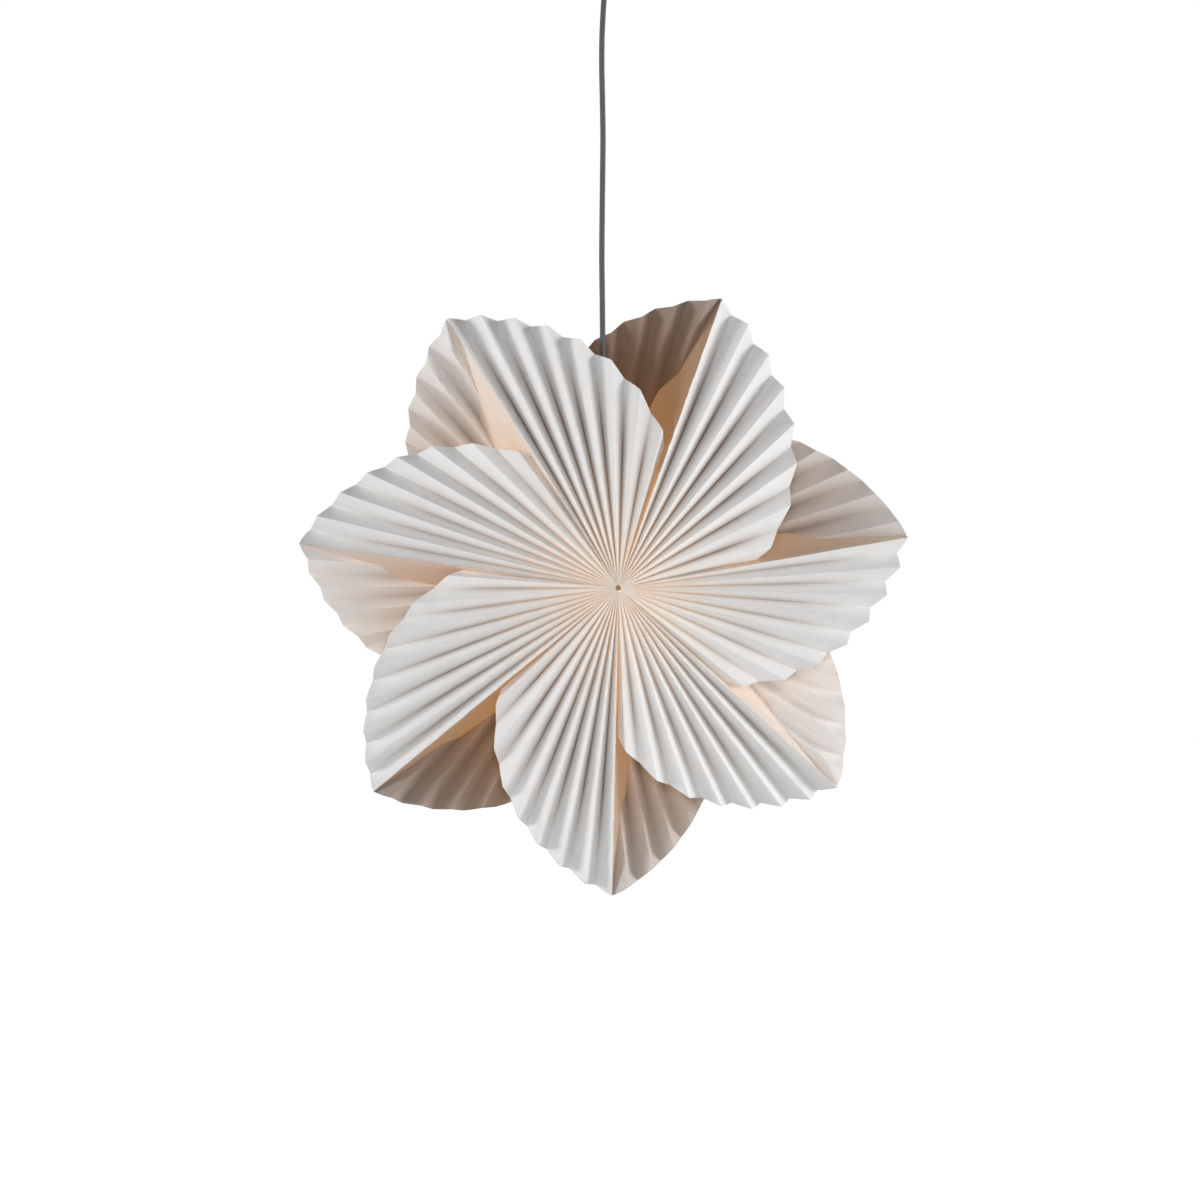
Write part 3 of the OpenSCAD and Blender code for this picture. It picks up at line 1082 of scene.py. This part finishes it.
@dataclass
class Bulb:
    """The sealed opal bulb: globe, neck, threaded cap and contact. Heights count from the star's axis."""

    finishes: Finishes
    tip: float = 55.0
    globe_radius: float = 22.5
    globe_lift: float = 8.0
    globe_steps: int = 32
    globe_step: float = 4.4
    neck_steps: int = 8
    neck_over: float = 2.0
    cap_radius: float = 6.7
    cap_length: float = 20.0
    thread_turns: int = 6
    thread_start: float = 1.5
    thread_pitch: float = 2.4
    thread_depth: float = 0.4
    thread_crest: float = 0.8
    thread_end: float = 1.7
    contact_radius: float = 3.5

    def build(self) -> bpy.types.Object:
        """Models the bulb and gives it its finish."""
        base = self.tip - self.cap_length
        centre = base - self.globe_radius - self.globe_lift
        profile = []
        for step in range(1, self.globe_steps + 1):
            turn = math.radians(-90 + step * self.globe_step)
            profile.append((self.globe_radius * math.cos(turn), centre + self.globe_radius * math.sin(turn)))
        start_radius, start_height = profile[-1]
        neck = self.cap_radius + self.neck_over
        for step in range(1, self.neck_steps + 1):
            share = step / self.neck_steps
            ease = 1 - (1 - share) ** 2
            radius = start_radius + (neck - start_radius) * ease
            profile.append((radius, start_height + (base - start_height) * share))
        profile.append((self.cap_radius - self.thread_depth / 2, base))
        root = self.cap_radius - self.thread_depth
        for turn in range(self.thread_turns):
            low = base + self.thread_start + turn * self.thread_pitch
            profile += [(root, low), (self.cap_radius, low + self.thread_crest), (root, low + self.thread_end)]
        profile += [(root, self.tip - 3), (self.contact_radius, self.tip - 1), (self.contact_radius, self.tip)]
        piece = turned("bulb_opal", [(radius, height - PLAN.drop) for radius, height in profile])
        return own(piece, "bulb", self.finishes.bulb)


@dataclass
class CordLead:
    """The cord, which hangs taut from the ceiling fitting to the holder.

    The route's heights count from the star's axis, and its slight bow follows the photograph.
    """

    finishes: Finishes
    diameter: float = 5.5
    start: float = 98.0
    route: tuple[Point, ...] = (
        (0, 0, 102), (0, -1, 120), (-1, -4, 160), (-3, -5, 200), (-4.5, -5, 240), (-4.8, -4, 280),
        (-5, -2, 320), (-4.6, -1, 360), (-4, 0, 400), (-3.6, 0, 440), (-4.2, 0, 480), (-4.8, 0, 510),
        (-4.5, 0, 540), (-3, 0, 570), (-1.4, 0, 590), (-0.2, 0, 610), (0, 0, 642),
    )
    steps: int = 4
    roundness: int = 6

    def centreline(self) -> list[Vector]:
        """Finds smooth points along the route.

        Returns:
            The points from the holder up, in metres in the part's frame.
        """
        marks = [Vector(point) for point in self.route]
        line = [Vector((0, 0, self.start))]
        for place in range(len(marks) - 1):
            before = marks[max(0, place - 1)]
            after = marks[min(len(marks) - 1, place + 2)]
            for step in range(self.steps):
                line.append(self.between(before, marks[place], marks[place + 1], after, step / self.steps))
        line.append(marks[-1])
        return [Vector((p.x, p.y, p.z - PLAN.drop)) * MM for p in line]

    @staticmethod
    def between(a: Vector, b: Vector, c: Vector, d: Vector, t: float) -> Vector:
        """Point of a smooth curve between b and c."""
        cubic = (3 * b - a - 3 * c + d) * t**3
        return 0.5 * (2 * b + (c - a) * t + (2 * a - 5 * b + 4 * c - d) * t**2 + cubic)

    def build(self, with_pieces: list[bpy.types.Object]) -> bpy.types.Object:
        """Args:
            with_pieces: the pieces on its upper end. It is not used.

        Returns:
            The cord.
        """
        line = self.centreline()
        data = bpy.data.curves.new("cord_lead", "CURVE")
        data.dimensions = "3D"
        data.bevel_depth = self.diameter / 2 * MM
        data.bevel_resolution = self.roundness
        data.use_fill_caps = True
        spline = data.splines.new("POLY")
        spline.points.add(len(line) - 1)
        for mark, point in zip(spline.points, line):
            mark.co = (*point, 1.0)
        cord = bpy.data.objects.new("cord_lead", data)
        bpy.context.scene.collection.objects.link(cord)
        data.materials.append(self.finishes.cord)
        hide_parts("cord")
        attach(cord, ROOT)
        return cord


@dataclass
class CeilingFitting:
    """The cup at the ceiling and what holds the cord in it.

    Attributes:
        neck_steps: how much wider than the neck each step is, and its height above the cup's end.
        bell: radius and depth of the bell's marks, as shares of the whole, down to the rim.
        panels: steps from one mark to the next.
    """

    finishes: Finishes
    height: float = 52.0
    radius: float = 39.0
    wall: float = 2.0
    neck: float = 11.0
    neck_steps: tuple[tuple[float, float], ...] = ((-2, 0), (0, 2), (1, 8))
    bell: tuple[tuple[float, float], ...] = ((0.72, 0.55), (0.92, 0.25), (1.0, 0.0))
    panels: int = 3
    cord_hole: float = 2.95
    on_cord: tuple[str, ...] = ("cup_collar", "cord_hanger", "ceiling_hook")

    def build_cup(self) -> bpy.types.Object:
        """Models the cup as one smooth bell."""
        outer = [(self.neck + wider, -self.height + rise) for wider, rise in self.neck_steps]
        marks = outer[-1:] + [(self.radius * wide, -self.height * deep) for wide, deep in self.bell]
        for (low_r, low_z), (high_r, high_z) in zip(marks, marks[1:]):
            for step in range(1, self.panels + 1):
                share = step / self.panels
                outer.append((low_r + (high_r - low_r) * share, low_z + (high_z - low_z) * share))
        floor = -self.height + self.wall + 2
        inner = [(radius - self.wall, max(height, floor)) for radius, height in reversed(outer)]
        profile = [(self.cord_hole, -self.height), *outer, *inner[:-2], (self.neck - self.wall, floor),
                   (self.cord_hole, floor), (self.cord_hole, -self.height)]
        cup = turned("ceiling_cup_bell", profile, hollow=True)
        return own(cup, "ceiling_cup", self.finishes.cup)

    def build(self) -> list[bpy.types.Object]:
        """Models the cup and gathers the fitting's pieces that lie on the cord."""
        return [self.build_cup()] + [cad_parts[name] for name in self.on_cord]


@dataclass
class CarriedParts:
    """The solids that keep their own shape and get a finish."""

    finishes: Finishes
    wears: dict[str, str] = field(default_factory=lambda: {
        "front_hub_knot": "thread", "back_hub_knot": "thread", "hanger_wire": "steel",
        "contact_block": "ceramic", "thread_shell": "brass", "centre_contact": "brass",
        "terminal_screws": "steel", "cup_collar": "grip", "cord_hanger": "grip", "ceiling_hook": "steel",
    })

    def build(self) -> int:
        """Dresses each solid.

        Returns:
            How many there are.
        """
        for node, finish in self.wears.items():
            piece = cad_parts[node]
            piece.data.materials.clear()
            piece.data.materials.append(getattr(self.finishes, finish))
        return len(self.wears)


@dataclass(frozen=True)
class SoftLight:
    """A square lamp that faces the star: its place and side in metres, and its power in watts."""

    name: str
    place: Point
    size: float
    power: float


@dataclass
class Studio:
    """Camera, pale floor and backdrop, and soft light.

    Attributes:
        near_white: the floor's own white under the lamp, where the shadow falls.
        white_from: distance from the lamp's axis at which it starts to rise.
        white_reach: distance at which it is full.
        sky: colour of the world's light, and sky_strength its strength.
    """

    centre: Point = (0.0, 0.0, -0.668)
    azimuth: float = -7.8
    elevation: float = 1.25
    distance: float = 4.3
    lens: float = 131.15
    shift: tuple[float, float] = (-0.00554, -0.01162)
    sight: float = 60.0
    floor_height: float = -1.75
    floor_size: float = 30.0
    floor_colour: Colour = (0.84, 0.84, 0.84, 1)
    floor_roughness: float = 0.9
    near_white: float = 0.84
    white_from: float = 0.6
    white_reach: float = 2.8
    sky: Colour = (0.93, 0.95, 1.0, 1)
    sky_strength: float = 0.04
    lights: tuple[SoftLight, ...] = (
        SoftLight("front", (-0.6, -4.4, -0.1), 1.2, 74.0),
        SoftLight("left_side", (-3.6, -1.0, 0.0), 1.2, 62.0),
        SoftLight("right_side", (3.6, -0.9, -0.3), 1.4, 86.0),
        SoftLight("back", (0.8, 4.4, 0.2), 1.4, 78.0),
    )

    def build_camera(self) -> None:
        """Sets the camera at the photograph's angle."""
        az, el = math.radians(self.azimuth), math.radians(self.elevation)
        away = Vector((math.sin(az) * math.cos(el), -math.cos(az) * math.cos(el), math.sin(el)))
        data = bpy.data.cameras.new("camera")
        data.lens = self.lens
        data.shift_x, data.shift_y = self.shift
        data.clip_end = self.sight
        camera = bpy.data.objects.new("camera", data)
        camera.location = Vector(self.centre) + away * self.distance
        camera.rotation_euler = (-away).to_track_quat("-Z", "Y").to_euler()
        bpy.context.scene.collection.objects.link(camera)
        bpy.context.scene.camera = camera

    def add_light(self, light: SoftLight) -> None:
        """Adds a soft lamp that the camera doesn't see.

        Args:
            light: its name, place, size and power.
        """
        data = bpy.data.lights.new(light.name, "AREA")
        data.size = light.size
        data.energy = light.power
        lamp = bpy.data.objects.new(light.name, data)
        lamp.location = light.place
        lamp.visible_camera = False
        lamp.rotation_euler = (Vector(self.centre) - Vector(light.place)).to_track_quat("-Z", "Y").to_euler()
        bpy.context.scene.collection.objects.link(lamp)

    def seen_rays(self, tree: bpy.types.NodeTree) -> bpy.types.NodeSocket:
        """Says which rays see the white: those of the camera, of gloss and of glass.

        Args:
            tree: the node tree to add to.

        Returns:
            A socket that is 1 for those rays.
        """
        path = tree.nodes.new("ShaderNodeLightPath")
        seen = path.outputs["Is Camera Ray"]
        for ray in ("Is Glossy Ray", "Is Transmission Ray"):
            more = tree.nodes.new("ShaderNodeMath")
            more.operation = "MAXIMUM"
            tree.links.new(seen, more.inputs[0])
            tree.links.new(path.outputs[ray], more.inputs[1])
            seen = more.outputs["Value"]
        return seen

    def far_white(self, tree: bpy.types.NodeTree) -> bpy.types.NodeSocket:
        """Raises the floor's own white from under the lamp, where the shadow falls, to its far edge.

        Args:
            tree: the node tree to add to.

        Returns:
            A socket with the strength of the white.
        """
        place = tree.nodes.new("ShaderNodeTexCoord")
        reach = tree.nodes.new("ShaderNodeVectorMath")
        reach.operation = "LENGTH"
        tree.links.new(place.outputs["Object"], reach.inputs[0])
        rise = tree.nodes.new("ShaderNodeMapRange")
        rise.interpolation_type = "SMOOTHSTEP"
        rise.inputs["From Min"].default_value = self.white_from
        rise.inputs["From Max"].default_value = self.white_reach
        rise.inputs["To Min"].default_value = self.near_white
        rise.inputs["To Max"].default_value = 1.0
        tree.links.new(reach.outputs["Value"], rise.inputs["Value"])
        return rise.outputs["Result"]

    def backdrop_material(self) -> bpy.types.Material:
        """Makes the floor's finish: lifted to white for the camera, so that a shadow on it still shows."""
        material, tree, shader = new_material("pale_backdrop")
        shader.inputs["Base Color"].default_value = self.floor_colour
        shader.inputs["Roughness"].default_value = self.floor_roughness
        lift = tree.nodes.new("ShaderNodeEmission")
        tree.links.new(self.far_white(tree), lift.inputs["Strength"])
        nothing = tree.nodes.new("ShaderNodeEmission")
        nothing.inputs["Strength"].default_value = 0.0
        mix = tree.nodes.new("ShaderNodeMixShader")
        tree.links.new(self.seen_rays(tree), mix.inputs["Fac"])
        tree.links.new(nothing.outputs["Emission"], mix.inputs[1])
        tree.links.new(lift.outputs["Emission"], mix.inputs[2])
        total = tree.nodes.new("ShaderNodeAddShader")
        tree.links.new(shader.outputs["BSDF"], total.inputs[0])
        tree.links.new(mix.outputs["Shader"], total.inputs[1])
        tree.links.new(total.outputs["Shader"], tree.nodes["Material Output"].inputs["Surface"])
        return material

    def build_floor(self) -> None:
        """Adds the pale floor, far below the lamp."""
        deselect()
        bpy.ops.mesh.primitive_plane_add(size=self.floor_size, location=(0, 0, 0))
        floor = bpy.context.object
        floor.location = (0, 0, self.floor_height)
        floor.name = "floor"
        floor.data.materials.append(self.backdrop_material())

    def build_world(self) -> None:
        """Lights everything softly and shows white behind it."""
        world = bpy.data.worlds.new("studio")
        world.use_nodes = True
        bpy.context.scene.world = world
        tree = world.node_tree
        soft = tree.nodes["Background"]
        soft.inputs["Color"].default_value = self.sky
        soft.inputs["Strength"].default_value = self.sky_strength
        white = tree.nodes.new("ShaderNodeBackground")
        white.inputs["Color"].default_value = WHITE
        mix = tree.nodes.new("ShaderNodeMixShader")
        tree.links.new(self.seen_rays(tree), mix.inputs["Fac"])
        tree.links.new(soft.outputs["Background"], mix.inputs[1])
        tree.links.new(white.outputs["Background"], mix.inputs[2])
        tree.links.new(mix.outputs["Shader"], tree.nodes["World Output"].inputs["Surface"])

    def build(self) -> None:
        """Builds the whole studio."""
        self.build_camera()
        self.build_world()
        self.build_floor()
        for light in self.lights:
            self.add_light(light)
        bpy.context.scene.view_settings.view_transform = "Standard"


def main() -> None:
    """Builds the lamp and reports each piece."""
    logging.basicConfig(level=logging.INFO, format="%(message)s")
    Studio().build()
    finishes = Finishes()
    fitting = CeilingFitting(finishes).build()
    cord = CordLead(finishes).build(fitting)
    LOG.info("cord: %s, with %d pieces at the ceiling", cord.name, len(fitting))
    for piece in Lampholder(finishes).build() + [Bulb(finishes).build()]:
        LOG.info("lampholder: %s, %d faces", piece.name, len(piece.data.polygons))
    for side, material in ((Side.FRONT, finishes.paper_front), (Side.BACK, finishes.paper_back)):
        for arm in range(len(PLAN.arms)):
            sheet = PaperSheet(arm, side).build(material)
            LOG.info("paper: %s, %d faces", sheet.name, len(sheet.data.polygons))
    LOG.info("solids kept and dressed: %d", CarriedParts(finishes).build())


if __name__ == "__main__":
    main()
